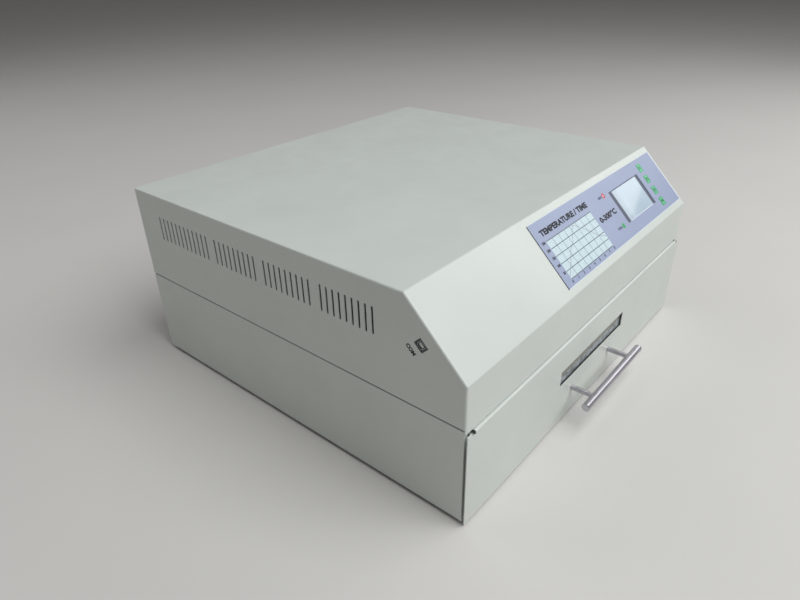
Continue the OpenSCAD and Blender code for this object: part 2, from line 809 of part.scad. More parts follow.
module power_board() color(board_green) in_case() {
    top = power_board_z + board_t;
    box(power_board_x, power_board_y, [power_board_z, top]);
    box([-215, -185], [400, 412], [top - eps, top + 9]);
    for (x = [power_board_x[0], power_board_x[1] - 12])
        box([x, x + 12], [343, 361], [top - eps, top + 9]);
    for (y = [318, 380]) box([-170, -150], [y - 8, y + 8], [top - eps, top + 16]);
    translate([-205, 330, top - eps]) cylinder(r = 9, h = 26);
    translate([-180, 345, top - eps]) cylinder(r = 5, h = 14);
}

module triac_heatsink() color(zinc) in_case() {
    x = [-60, 0];
    y = [380, 430];
    base = shelf_z + sheet;
    fins = 9;
    box(x, y, [base, base + 5]);
    for (i = [0:fins - 1])
        translate([x[0] + i * (x[1] - x[0] - 2) / (fins - 1), y[0], base + 5 - eps])
            cube([2, y[1] - y[0], 30]);
}

module transformer() color(copper) in_case() {
    base = shelf_z + sheet;
    difference() {
        box([60, 124], [230, 276], [base, base + 52]);
        for (x = [60 + 10, 60 + 42]) box([x, x + 12], [229, 277], [base + 10, base + 42]);
    }
    difference() {
        box([73, 111], [220, 286], [base + 12, base + 40]);
        box([81.9, 102.1], [200, 300], [base + 9, base + 43]);
    }
}

// Fans

module fan_frame(size, bore_r, hole_pitch, y) {
    motor_r = 17;
    difference() {
        translate([-size / 2, y[0], -size / 2]) cube([size, y[1] - y[0], size]);
        rod_y([y[0] - 1, y[1] + 1], bore_r);
        for (side = [-1, 1], up = [-1, 1]) translate([side * hole_pitch / 2, 0, up * hole_pitch / 2])
            rod_y([y[0] - 1, y[1] + 1], screw_r);
    }
    for (a = [45:90:315]) rotate([0, a, 0]) box([motor_r - 1, bore_r + 1], [y[0], y[0] + 3], [-2, 2]);
    rod_y([y[0], y[0] + 4], motor_r);
    rod_y([y[0] + 3, y[1] - 5], 2);
}

module impeller(tip_r, y) {
    hub_r = 18;
    depth = y[1] - y[0];
    difference() {
        rod_y(y, hub_r);
        rod_y([y[0] - 1, y[0] + depth - 3], 2.05);
    }
    intersection() {
        for (i = [0:blade_count - 1]) rotate([0, i * 360 / blade_count, 0])
            translate([tip_r / 2 + 8, (y[0] + y[1]) / 2, 0]) rotate([38, 0, 0])
                cube([tip_r - 12, 1.6, 40], center = true);
        difference() {
            rod_y([y[0] + 0.5, y[1] - 0.5], tip_r);
            rod_y([y[0] - 1, y[1] + 1], hub_r - 1);
        }
    }
}

module wire_guard(hole_pitch, ring_radii) {
    back = case_d + guard_wire_r;
    reach = hole_pitch / sqrt(2);
    for (a = [45:90:315]) rotate([0, a, 0]) difference() {
        union() {
            translate([0, back, 0]) rod_x([ring_radii[0], reach], guard_wire_r);
            translate([reach, 0, 0]) rod_y([case_d, case_d + 2 * guard_wire_r], screw_r + 2);
        }
        translate([reach, 0, 0]) rod_y([case_d - 1, case_d + 10], screw_r);
    }
    for (r = ring_radii) translate([0, back + 2 * guard_wire_r - guard_weld, 0]) rotate([90, 0, 0])
        rotate_extrude() translate([r, 0]) circle(guard_wire_r);
}

module at_exhaust() {
    translate([0, 0, exhaust_z]) children();
}

module at_cooling() {
    translate([cooling_at[0], 0, cooling_at[1]]) children();
}

module exhaust_fan_frame() color(dark_plastic) in_case() at_exhaust()
    fan_frame(exhaust_size, exhaust_bore_r, exhaust_pitch, [rear_inner - fan_depth, rear_inner]);

module exhaust_impeller() color(dark_plastic) in_case() at_exhaust()
    impeller(exhaust_bore_r - 1.5, [rear_inner - fan_depth + 5, rear_inner - 2]);

module exhaust_guard() color(polished) in_case() at_exhaust()
    wire_guard(exhaust_pitch, [10, 18, 26, 34, 42]);

module cooling_fan_frame() color(dark_plastic) in_case() at_cooling()
    fan_frame(cooling_size, cooling_bore_r, cooling_pitch, [rear_inner - fan_depth, rear_inner]);

module cooling_impeller() color(dark_plastic) in_case() at_cooling()
    impeller(cooling_bore_r - 1.5, [rear_inner - fan_depth + 5, rear_inner - 2]);

module cooling_guard() color(polished) in_case() at_cooling() wire_guard(cooling_pitch, [9, 18, 27, 36]);

// Mains inlet and switch

module power_inlet() color(dark_plastic) in_case() translate([inlet_at[0], case_d, inlet_at[1]]) {
    difference() {
        union() {
            translate([0, 1.4, 0]) cube([inlet_flange[0], 2.8, inlet_flange[1]], center = true);
            translate([0, 1 - inlet_depth / 2, 0])
                cube([inlet_body[0], inlet_depth, inlet_body[1]], center = true);
        }
        translate([0, 4 - 16 / 2, 0]) cube([inlet_recess[0], 16, inlet_recess[1]], center = true);
    }
    for (pin = [[-7, -2], [7, -2], [0, 2]])
        translate([pin.x, -8.5, pin.y]) cube([2, 9, 4], center = true);
}

module switch_housing() color(dark_plastic) in_case() translate([rocker_at[0], case_d, rocker_at[1]]) {
    clear = 0.5;
    difference() {
        union() {
            translate([0, 1, 0]) cube([rocker_body[0] + 2, 2, rocker_body[1] + 2], center = true);
            translate([0, -9, 0]) cube([rocker_body[0], 20, rocker_body[1]], center = true);
        }
        cube([rocker_size[0] + 2 * clear, 24, rocker_size[1] + 2 * clear], center = true);
    }
    translate([0, -2, 0]) rod_x([-rocker_size[0] / 2 - 2, rocker_size[0] / 2 + 2], 1.5);
}

// The rocker's two faces meet in a shallow valley; it is at rest with its lower end pressed in
module switch_rocker() color([0.6, 0.08, 0.06]) in_case()
    translate([rocker_at[0], case_d - 2, rocker_at[1]]) rotate([-8, 0, 0]) difference() {
        half = rocker_size[1] / 2;
        along_x(rocker_size[0]) polygon([
            [-4, -4], [1, -half + 1.6], [4.6, -half + 0.6], [2.8, 0],
            [4.6, half - 0.6], [1, half - 1.6], [-4, 4]
        ]);
        rod_x([-20, 20], 1.55);
    }

// Wiring

module mains_wires() color(dark_plastic) in_case() wire(mains_route, 3, [1, 0, 0]);

module heater_wires() color([0.75, 0.2, 0.15]) in_case() {
    wire(heater_right_route, 2.5, [0, 1, 0]);
    wire(heater_left_route, 2.5, [0, 1, 0]);
}

base_pan();
top_cover();
rear_panel();
case_screws();
feet();
heater_hood();
hood_insulation();
reflector();
tube_holders();
quartz_tubes();
tube_end_caps();
exhaust_duct();
thermocouples();
rail_brackets();
outer_rails();
left_middle_rail();
right_middle_rail();
inner_rails();
drawer_front();
drawer_inner_panel();
drawer_box();
drawer_insulation();
window_gasket();
window_glass();
window_retainer();
handle_bar();
handle_posts();
handle_screws();
wire_tray();
tray_rests();
panel_overlay();
lcd_bezel();
lcd_screen();
indicator_lamps();
control_board();
key_switches();
board_standoffs();
key(0);  // key_1
key(1);  // key_2
key(2);  // key_3
key(3);  // key_4
usb_socket();
usb_board();
usb_lead();
electronics_shelf();
power_board();
triac_heatsink();
transformer();
exhaust_fan_frame();
exhaust_impeller();
exhaust_guard();
cooling_fan_frame();
cooling_impeller();
cooling_guard();
power_inlet();
switch_housing();
switch_rocker();
mains_wires();
heater_wires();
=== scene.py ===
"""Looks of a benchtop infrared reflow oven: finishes, printed panel, small parts, light and camera."""

import json
import math

import bmesh
import bpy
from mathutils import Matrix, Vector, noise


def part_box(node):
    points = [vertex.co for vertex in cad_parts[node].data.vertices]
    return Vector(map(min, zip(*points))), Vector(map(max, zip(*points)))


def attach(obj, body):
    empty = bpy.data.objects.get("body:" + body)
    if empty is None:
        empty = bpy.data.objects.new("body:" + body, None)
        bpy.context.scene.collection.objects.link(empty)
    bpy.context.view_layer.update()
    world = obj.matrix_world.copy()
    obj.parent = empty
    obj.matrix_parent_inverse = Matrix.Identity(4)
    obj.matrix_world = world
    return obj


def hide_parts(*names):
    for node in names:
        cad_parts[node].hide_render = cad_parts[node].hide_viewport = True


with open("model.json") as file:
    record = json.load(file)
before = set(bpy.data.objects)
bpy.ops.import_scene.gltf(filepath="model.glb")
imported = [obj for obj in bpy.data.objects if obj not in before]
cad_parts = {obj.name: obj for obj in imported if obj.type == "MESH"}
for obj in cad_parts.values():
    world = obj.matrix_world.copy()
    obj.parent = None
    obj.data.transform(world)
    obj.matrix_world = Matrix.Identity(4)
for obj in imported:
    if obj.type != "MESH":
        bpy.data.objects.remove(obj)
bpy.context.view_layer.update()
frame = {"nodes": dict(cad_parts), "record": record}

MM = 0.001
ACROSS = Vector((1, 0, 0))
BACK = Vector((0, 1, 0))
UP = Vector((0, 0, 1))

# Camera, solved from the case's own corners
LENS = 27.95
CAMERA_AT = Vector((-0.6919, -0.5155, 0.5506))
CAMERA_AZIMUTH = -0.8641
CAMERA_ELEVATION = 0.521
CAMERA_ROLL = -0.0228

# Printed panel on the 45 degree slope
SLOPE_UP = Vector((0, 1, 1)).normalized()
SLOPE_OUT = Vector((0, -1, 1)).normalized()
FILM = 0.6 * MM
INK = 0.06 * MM
CAP_SHARE = 0.69

# Gap between the cover and the pan
SEAM = 1.3 * MM

# Graph on the printed panel, from the panel's lower left corner
GRAPH_AT = (15.8 * MM, 8.7 * MM)
GRAPH_SIZE = (119 * MM, 53.3 * MM)
GRAPH_COLUMNS = 8
GRAPH_ROWS = 5
GRAPH_STEP = 50
PROFILE = [(0, 0.3), (1.3, 1.6), (2.2, 2.65), (3.2, 3.3), (3.9, 4.3),
           (4.5, 4.85), (5.1, 4.4), (6.3, 3.0), (7, 2), (8, 1.4)]


# Materials

def tone(red, green, blue):
    """Linear colour of a shade given as it looks on a screen, from 0 to 1."""
    return tuple(c / 12.92 if c <= 0.04045 else ((c + 0.055) / 1.055) ** 2.4 for c in (red, green, blue))


def shaded(color, share):
    """The colour made darker or lighter."""
    return tuple(min(1, c * share) for c in color)


class Finish:
    """A Principled material that gets its detail by short calls."""

    def __init__(self, name, color, roughness, **values):
        self.material = bpy.data.materials.new(name)
        self.material.use_nodes = True
        self.tree = self.material.node_tree
        self.shader = self.tree.nodes["Principled BSDF"]
        self.color = color
        self.place = self.node("ShaderNodeTexCoord").outputs["Object"]
        self.set("Base Color", (*color, 1))
        self.set("Roughness", roughness)
        for socket, value in values.items():
            self.set(socket.replace("_", " "), value)

    def set(self, socket, value):
        self.shader.inputs[socket].default_value = value

    def node(self, kind, **settings):
        node = self.tree.nodes.new(kind)
        for name, value in settings.items():
            setattr(node, name, value)
        return node

    def join(self, output, into):
        self.tree.links.new(output, into)

    def stretched(self, stretch):
        mapping = self.node("ShaderNodeMapping")
        mapping.inputs["Scale"].default_value = stretch
        self.join(self.place, mapping.inputs["Vector"])
        return mapping.outputs["Vector"]

    def cloud(self, size, stretch=(1, 1, 1), detail=2):
        """Noise with lumps about size metres across."""
        texture = self.node("ShaderNodeTexNoise")
        texture.inputs["Scale"].default_value = 1 / size
        texture.inputs["Detail"].default_value = detail
        self.join(self.stretched(stretch), texture.inputs["Vector"])
        return texture.outputs["Fac"]

    def cells(self, size, stretch=(1, 1, 1)):
        """Grains about size metres across, each with its own value."""
        texture = self.node("ShaderNodeTexVoronoi")
        texture.inputs["Scale"].default_value = 1 / size
        self.join(self.stretched(stretch), texture.inputs["Vector"])
        return texture.outputs["Color"]

    def bands(self, size, direction, wobble=0):
        """Even bands size metres apart, along an axis or a diagonal."""
        texture = self.node("ShaderNodeTexWave", bands_direction=direction)
        texture.inputs["Scale"].default_value = math.pi / 10 / size
        texture.inputs["Distortion"].default_value = wobble
        self.join(self.place, texture.inputs["Vector"])
        return texture.outputs["Fac"]

    def beyond(self, direction, start, soft=0.1 * MM, share=1):
        """0 before a plane across direction, the share behind it."""
        along = self.node("ShaderNodeVectorMath", operation="DOT_PRODUCT")
        along.inputs[1].default_value = direction
        self.join(self.place, along.inputs[0])
        step = self.node("ShaderNodeMapRange")
        step.inputs["From Min"].default_value = start - soft
        step.inputs["From Max"].default_value = start + soft
        step.inputs["To Max"].default_value = share
        self.join(along.outputs["Value"], step.inputs["Value"])
        return step.outputs["Result"]

    def ramp(self, value, dark, light, low=0.3, high=0.7):
        ramp = self.node("ShaderNodeValToRGB")
        ramp.color_ramp.elements[0].position = low
        ramp.color_ramp.elements[1].position = high
        ramp.color_ramp.elements[0].color = (*dark, 1)
        ramp.color_ramp.elements[1].color = (*light, 1)
        self.join(value, ramp.inputs["Fac"])
        return ramp.outputs["Color"]

    def tint(self, value, dark, light, low=0.3, high=0.7):
        """Colours the surface between two shares of its colour."""
        self.paint(self.ramp(value, shaded(self.color, dark), shaded(self.color, light), low, high))
        return self

    def paint(self, color):
        self.join(color, self.shader.inputs["Base Color"])

    def overpaint(self, mask, color):
        """Lays another colour over the surface where the mask is 1."""
        under = self.shader.inputs["Base Color"].links[0].from_socket
        mix = self.node("ShaderNodeMix", data_type="RGBA")
        self.join(mask, mix.inputs["Factor"])
        self.join(under, mix.inputs[6])
        mix.inputs[7].default_value = (*color, 1)
        self.paint(mix.outputs[2])
        return self

    def gloss(self, value, smooth, rough):
        span = self.node("ShaderNodeMapRange")
        span.inputs["From Min"].default_value = 0.3
        span.inputs["From Max"].default_value = 0.7
        span.inputs["To Min"].default_value = smooth
        span.inputs["To Max"].default_value = rough
        self.join(value, span.inputs["Value"])
        self.join(span.outputs["Result"], self.shader.inputs["Roughness"])
        return self

    def relief(self, value, depth, strength=1):
        """Adds a bump of that depth in metres to those already there."""
        bump = self.node("ShaderNodeBump")
        bump.inputs["Distance"].default_value = depth
        bump.inputs["Strength"].default_value = strength
        normal = self.shader.inputs["Normal"]
        if normal.links:
            self.join(normal.links[0].from_socket, bump.inputs["Normal"])
        self.join(value, bump.inputs["Height"])
        self.join(bump.outputs["Normal"], normal)
        return self


def powder_coat():
    coat = Finish("powder_coat", tone(0.79, 0.81, 0.79), 0.4, Coat_Weight=0.45, Coat_Roughness=0.22)
    coat.tint(coat.cloud(90 * MM, detail=4), 0.975, 1.02)
    coat.gloss(coat.cloud(25 * MM, detail=5), 0.38, 0.48)
    return coat.relief(coat.cloud(1.6 * MM), 0.03 * MM, 0.5).relief(coat.cloud(0.5 * MM), 0.01 * MM, 0.4)


def zinc_sheet():
    zinc = Finish("zinc_sheet", tone(0.76, 0.77, 0.79), 0.38, Metallic=1.0)
    zinc.tint(zinc.cells(9 * MM, (1, 0.8, 1.1)), 0.86, 1.05, 0.1, 0.9)
    zinc.gloss(zinc.cloud(12 * MM, detail=4), 0.3, 0.46)
    return zinc.relief(zinc.cloud(1.2 * MM), 0.02 * MM, 0.5)


def screw_zinc():
    zinc = Finish("screw_zinc", tone(0.72, 0.73, 0.76), 0.3, Metallic=1.0)
    zinc.tint(zinc.cloud(2 * MM), 0.8, 1.08)
    return zinc.relief(zinc.cloud(0.3 * MM), 0.02 * MM, 0.6)


def slide_steel():
    steel = Finish("slide_steel", tone(0.80, 0.81, 0.83), 0.28, Metallic=1.0)
    steel.tint(steel.cloud(3 * MM, (1, 0.02, 1), 4), 0.85, 1.05)
    steel.gloss(steel.cloud(1 * MM, (1, 0.02, 1), 3), 0.2, 0.36)
    return steel.relief(steel.cloud(0.5 * MM, (1, 0.02, 1)), 0.01 * MM, 0.6)


def reflector_metal():
    metal = Finish("reflector_metal", tone(0.90, 0.90, 0.91), 0.14, Metallic=1.0)
    metal.tint(metal.cloud(60 * MM, detail=4), 0.92, 1.03)
    return metal.relief(metal.cloud(40 * MM, detail=3), 0.3 * MM, 0.3)


def heatsink_metal():
    metal = Finish("heatsink_metal", tone(0.74, 0.75, 0.77), 0.42, Metallic=1.0)
    metal.tint(metal.cloud(2 * MM, (1, 0.03, 1), 3), 0.85, 1.05)
    return metal.relief(metal.cloud(0.6 * MM, (1, 0.02, 1)), 0.02 * MM, 0.7)


def chrome():
    plate = Finish("chrome", tone(0.76, 0.75, 0.78), 0.3, Metallic=1.0)
    plate.tint(plate.cloud(3 * MM, (0.03, 1, 1), 3), 0.9, 1.04)
    plate.gloss(plate.cloud(0.8 * MM, (0.03, 1, 1), 3), 0.28, 0.38)
    return plate.relief(plate.cloud(0.4 * MM, (0.02, 1, 1)), 0.004 * MM, 0.6)


def bright_wire():
    wire = Finish("bright_wire", tone(0.78, 0.78, 0.80), 0.26, Metallic=1.0)
    wire.tint(wire.cloud(20 * MM, detail=4), 0.82, 1.05)
    return wire.relief(wire.cloud(0.6 * MM), 0.02 * MM, 0.5)


def socket_nickel():
    nickel = Finish("socket_nickel", tone(0.42, 0.42, 0.43), 0.3, Metallic=1.0)
    nickel.tint(nickel.cloud(4 * MM), 0.85, 1.04)
    return nickel.relief(nickel.cloud(0.5 * MM), 0.01 * MM, 0.5)


def ceramic_wool():
    wool = Finish("ceramic_wool", tone(0.90, 0.885, 0.85), 0.95, Sheen_Weight=0.3, Sheen_Roughness=0.6)
    wool.tint(wool.cloud(14 * MM, (1, 0.35, 1), 6), 0.88, 1.04)
    wool.relief(wool.cloud(5 * MM, (1, 0.3, 1), 5), 0.6 * MM, 0.6)
    return wool.relief(wool.cloud(0.9 * MM, (1, 0.15, 1), 3), 0.25 * MM, 0.7)


def quartz():
    glass = Finish("quartz", tone(0.95, 0.96, 0.96), 0.06, Transmission_Weight=0.9, IOR=1.46)
    glass.tint(glass.cloud(20 * MM, (0.1, 1, 1)), 0.94, 1.0)
    return glass.relief(glass.cloud(8 * MM, (0.1, 1, 1)), 0.05 * MM, 0.3)


def window_pane():
    """Glass, mottled grey from dust on it and from painted reflection of the dark inside, with painted
    shade darkening its upper part.
    """
    low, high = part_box("window_glass")
    upper = low.z + 0.5 * (high.z - low.z)
    # Grey glass colour and its mottling: partly dust, partly painted reflection of the dark inside.
    pane = Finish("window_pane", tone(0.50, 0.53, 0.55), 0.3, IOR=1.45)
    pane.tint(pane.cloud(8 * MM, (0.6, 1, 1.2), 5), 0.5, 1.7, 0.4, 0.68)
    # Darker upper part: painted shade under the recess's top edge.
    pane.overpaint(pane.beyond(UP, upper, 0.8 * MM, 0.85), tone(0.46, 0.465, 0.42))
    pane.gloss(pane.cloud(7 * MM, detail=5), 0.15, 0.4)
    return pane.relief(pane.cloud(30 * MM, (0.5, 1, 1)), 0.1 * MM, 0.3)


def white_ceramic():
    body = Finish("white_ceramic", tone(0.93, 0.91, 0.86), 0.7)
    body.tint(body.cloud(6 * MM, detail=4), 0.92, 1.02)
    return body.relief(body.cloud(0.7 * MM), 0.04 * MM, 0.6)


def black_rubber():
    rubber = Finish("black_rubber", tone(0.10, 0.10, 0.10), 0.75, Sheen_Weight=0.1)
    rubber.tint(rubber.cloud(8 * MM, detail=4), 0.8, 1.3)
    return rubber.relief(rubber.cloud(0.6 * MM), 0.03 * MM, 0.6)


def black_plastic():
    plastic = Finish("black_plastic", tone(0.13, 0.13, 0.14), 0.45)
    plastic.tint(plastic.cloud(10 * MM, detail=3), 0.85, 1.2)
    plastic.gloss(plastic.cloud(3 * MM, detail=3), 0.36, 0.52)
    return plastic.relief(plastic.cells(0.5 * MM), 0.02 * MM, 0.5)


def panel_film():
    film = Finish("panel_film", tone(0.575, 0.615, 0.73), 0.42, Coat_Weight=0.25, Coat_Roughness=0.25)
    film.tint(film.cloud(70 * MM, detail=3), 0.97, 1.03)
    return film.relief(film.cells(0.35 * MM), 0.008 * MM, 0.5)


def display_glass():
    """Pale display, with painted shade making it a little darker towards its left edge."""
    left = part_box("lcd_screen")[0].x
    shade = 9 * MM
    glass = Finish("display_glass", tone(0.665, 0.74, 0.80), 0.2, Coat_Weight=0.7, Coat_Roughness=0.06)
    glass.tint(glass.cloud(45 * MM, detail=0), 0.94, 1.03)
    # Painted shade towards the left edge.
    glass.overpaint(glass.beyond(-ACROSS, -left - shade, shade), tone(0.58, 0.64, 0.715))
    return glass.relief(glass.cells(0.4 * MM), 0.003 * MM, 0.3)


def lamp_lens():
    """The upper lamp is clear with a red chip, the lower one green."""
    low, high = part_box("indicator_lamps")
    lens = Finish("lamp_lens", tone(0.30, 0.72, 0.45), 0.15, Coat_Weight=0.6, Coat_Roughness=0.08)
    lens.tint(lens.cloud(1.2 * MM), 0.85, 1.15)
    return lens.overpaint(lens.beyond(UP, (low.z + high.z) / 2), tone(0.90, 0.66, 0.68))


def key_film():
    film = Finish("key_film", tone(0.30, 0.74, 0.51), 0.36, Coat_Weight=0.4, Coat_Roughness=0.2)
    film.tint(film.cloud(9 * MM, detail=3), 0.92, 1.06)
    return film.relief(film.cells(0.35 * MM), 0.01 * MM, 0.5)


def circuit_board():
    board = Finish("circuit_board", tone(0.10, 0.42, 0.25), 0.32, Coat_Weight=0.5, Coat_Roughness=0.15)
    board.paint(board.ramp(board.cells(2.2 * MM), tone(0.06, 0.30, 0.18), tone(0.12, 0.46, 0.28), 0.2, 0.8))
    return board.relief(board.cells(2.2 * MM), 0.04 * MM, 0.5)


def wire_sleeve():
    sleeve = Finish("wire_sleeve", tone(0.14, 0.14, 0.15), 0.5)
    sleeve.tint(sleeve.cloud(6 * MM), 0.85, 1.2)
    return sleeve.relief(sleeve.cloud(0.8 * MM), 0.02 * MM, 0.5)


def heater_sleeve():
    """Braided glass sleeve."""
    sleeve = Finish("heater_sleeve", tone(0.62, 0.22, 0.17), 0.65)
    sleeve.tint(sleeve.bands(1.6 * MM, "DIAGONAL", 1), 0.7, 1.15)
    return sleeve.relief(sleeve.bands(1.6 * MM, "DIAGONAL", 1), 0.15 * MM, 0.8)


def transformer_metal():
    """Laminated core, with enamelled copper where the coil stands out of it at the front and the rear."""
    low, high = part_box("transformer")
    coil_overhang = 10.2 * MM
    core = Finish("transformer_metal", tone(0.36, 0.36, 0.38), 0.42, Metallic=0.8)
    core.tint(core.bands(0.7 * MM, "Z"), 0.7, 1.15)
    core.relief(core.bands(0.7 * MM, "Z"), 0.05 * MM, 0.6)
    core.overpaint(core.beyond(BACK, high.y - coil_overhang), tone(0.72, 0.40, 0.22))
    return core.overpaint(core.beyond(-BACK, -low.y - coil_overhang), tone(0.72, 0.40, 0.22))


def rocker_plastic():
    plastic = Finish("rocker_plastic", tone(0.62, 0.10, 0.09), 0.3, Coat_Weight=0.3, Coat_Roughness=0.15)
    plastic.tint(plastic.cloud(5 * MM), 0.9, 1.08)
    return plastic.relief(plastic.cells(0.4 * MM), 0.01 * MM, 0.5)


def ink(name, color, roughness=0.4):
    """Screen-printed ink, a little uneven."""
    layer = Finish(name, color, roughness)
    layer.tint(layer.cloud(1.5 * MM, detail=3), 0.9, 1.1)
    return layer.relief(layer.cells(0.3 * MM), 0.004 * MM, 0.5).material


def heating_wire():
    wire = Finish("heating_wire", tone(0.42, 0.38, 0.36), 0.4, Metallic=1.0)
    wire.tint(wire.cloud(5 * MM, detail=4), 0.7, 1.2)
    return wire.relief(wire.cloud(0.4 * MM), 0.02 * MM, 0.6).material


FINISHES = {
    "case_paint": powder_coat,
    "zinc_steel": zinc_sheet,
    "screw_steel": screw_zinc,
    "slide_steel": slide_steel,
    "reflector_metal": reflector_metal,
    "heatsink_metal": heatsink_metal,
    "chrome": chrome,
    "bright_wire": bright_wire,
    "socket_shell": socket_nickel,
    "mineral_wool": ceramic_wool,
    "quartz": quartz,
    "window_pane": window_pane,
    "ceramic": white_ceramic,
    "rubber_black": black_rubber,
    "black_plastic": black_plastic,
    "panel_film": panel_film,
    "lcd_glass": display_glass,
    "lamp_lens": lamp_lens,
    "key_green": key_film,
    "board": circuit_board,
    "wire_sleeve": wire_sleeve,
    "heater_sleeve": heater_sleeve,
    "winding": transformer_metal,
    "rocker_red": rocker_plastic,
}


def finish_cad_nodes():
    """Gives each CAD node the finish of its slot and returns the finishes by slot."""
    made = {slot: finish().material for slot, finish in FINISHES.items()}
    for subpart in frame["record"]["subparts"]:
        for slot in frame["nodes"][subpart["node"]].material_slots:
            slot.material = made[subpart["material_slot"]]
    return made


# Mesh helpers

def new_piece(name, shape, material, body):
    """A piece made from a bmesh in the row frame, riding on a CAD body."""
    mesh = bpy.data.meshes.new(name)
    shape.to_mesh(mesh)
    shape.free()
    mesh.materials.append(material)
    piece = bpy.data.objects.new(name, mesh)
    bpy.context.scene.collection.objects.link(piece)
    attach(piece, body)
    return piece


def smooth(piece):
    for face in piece.data.polygons:
        face.use_smooth = True
    return piece


def rectangle(u0, v0, u1, v1):
    return [(u0, v0), (u1, v0), (u1, v1), (u0, v1)]


def circle(u, v, radius, steps=40):
    turn = 2 * math.pi / steps
    return [(u + radius * math.cos(i * turn), v + radius * math.sin(i * turn)) for i in range(steps)]


def stroke(points, width):
    """Outline of a line of that width through the points."""
    left, right = [], []
    for i, (u, v) in enumerate(points):
        before, after = points[max(i - 1, 0)], points[min(i + 1, len(points) - 1)]
        side = Vector((before[1] - after[1], after[0] - before[0])).normalized() * width / 2
        left.append((u + side.x, v + side.y))
        right.append((u - side.x, v - side.y))
    return right + left[::-1]


def add_prism(shape, outline, low, high, place):
    """A closed prism over an outline that runs anticlockwise; place is the matrix of its plane."""
    bottom = [shape.verts.new(place @ Vector((u, v, low))) for u, v in outline]
    top = [shape.verts.new(place @ Vector((u, v, high))) for u, v in outline]
    shape.faces.new(bottom[::-1])
    shape.faces.new(top)
    for i in range(len(outline)):
        j = (i + 1) % len(outline)
        shape.faces.new((bottom[i], bottom[j], top[j], top[i]))


def add_band(shape, outer, inner, low, high, place):
    """A closed ring between two outlines with as many points each."""
    loops = [[shape.verts.new(place @ Vector((u, v, lift))) for u, v in outline]
             for outline, lift in ((outer, low), (outer, high), (inner, high), (inner, low))]
    count = len(outer)
    for a, b in zip(loops, loops[1:] + loops[:1]):
        for i in range(count):
            j = (i + 1) % count
            shape.faces.new((a[i], a[j], b[j], b[i]))


def add_text(shape, words, u, v, cap_height, place, align="CENTER", width=None, weight=0):
    """Plain lettering with its baseline at v, as thick as the ink; width squeezes it to that length."""
    data = bpy.data.curves.new("lettering", "FONT")
    data.body = words
    data.size = cap_height / CAP_SHARE
    data.align_x = align
    data.offset = weight
    data.extrude = INK / 2
    data.resolution_u = 3
    holder = bpy.data.objects.new("lettering", data)
    bpy.context.scene.collection.objects.link(holder)
    bpy.context.view_layer.update()
    mesh = bpy.data.meshes.new_from_object(holder.evaluated_get(bpy.context.evaluated_depsgraph_get()))
    reach = [vertex.co.x for vertex in mesh.vertices]
    squeeze = 1 if width is None else width / (max(reach) - min(reach))
    mesh.transform(place @ Matrix.Translation((u, v, INK / 2)) @ Matrix.Diagonal((squeeze, 1, 1, 1)))
    shape.from_mesh(mesh)
    bpy.data.objects.remove(holder)


def add_tube(shape, path, radius, sides, closed_ends=True):
    """A round wire along a path of points."""
    rings = []
    across = None
    for i, point in enumerate(path):
        along = (path[min(i + 1, len(path) - 1)] - path[max(i - 1, 0)]).normalized()
        if across is None:
            across = along.orthogonal().normalized()
        across = (across - along * across.dot(along)).normalized()
        other = along.cross(across)
        turn = 2 * math.pi / sides
        spokes = [math.cos(k * turn) * across + math.sin(k * turn) * other for k in range(sides)]
        rings.append([shape.verts.new(point + radius * spoke) for spoke in spokes])
    for a, b in zip(rings, rings[1:]):
        for k in range(sides):
            j = (k + 1) % sides
            shape.faces.new((a[k], a[j], b[j], b[k]))
    if closed_ends:
        shape.faces.new(rings[0][::-1])
        shape.faces.new(rings[-1])


def plane_matrix(origin, across, up):
    """Matrix of a plane: u runs along across, v along up, and lift out of it."""
    out = across.cross(up)
    turn = Matrix((across, up, out)).transposed().to_4x4()
    return Matrix.Translation(origin) @ turn


def box_in(place, node):
    """Lowest and highest corner of a CAD node, in the coordinates of a plane."""
    back = place.inverted()
    points = [back @ vertex.co for vertex in frame["nodes"][node].data.vertices]
    low = Vector(min(p[i] for p in points) for i in range(3))
    high = Vector(max(p[i] for p in points) for i in range(3))
    return low, high


# Printed panel

def panel_plane():
    """Plane of the printed panel's outer face, from its lower left corner."""
    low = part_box("panel_overlay")[0]
    corner = Vector((low.x, low.y, low.z + FILM * SLOPE_OUT.z))
    return plane_matrix(corner, ACROSS, SLOPE_UP)


def raised(place, lift):
    return place @ Matrix.Translation((0, 0, lift))


def panel_border(place, dark, pale):
    """The film's dark left edge, partly its dark cut side and partly painted shadow of its thickness, and
    the pale line round the other sides.
    """
    high = box_in(place, "panel_overlay")[1]
    edge = 0.9 * MM
    line = 0.7 * MM
    side = bmesh.new()
    # Dark left strip: the film's cut side and painted shadow of its thickness.
    add_prism(side, rectangle(0, 0, edge, high.y), -FILM / 2, INK, place)
    new_piece("panel_left_edge", side, dark, "cabinet")
    rim = bmesh.new()
    outer = rectangle(edge, 0, high.x, high.y)
    inner = rectangle(edge + line / 4, line, high.x - 2 * line, high.y - line / 4)
    add_band(rim, outer, inner, -INK, INK, place)
    new_piece("panel_border", rim, pale, "cabinet")


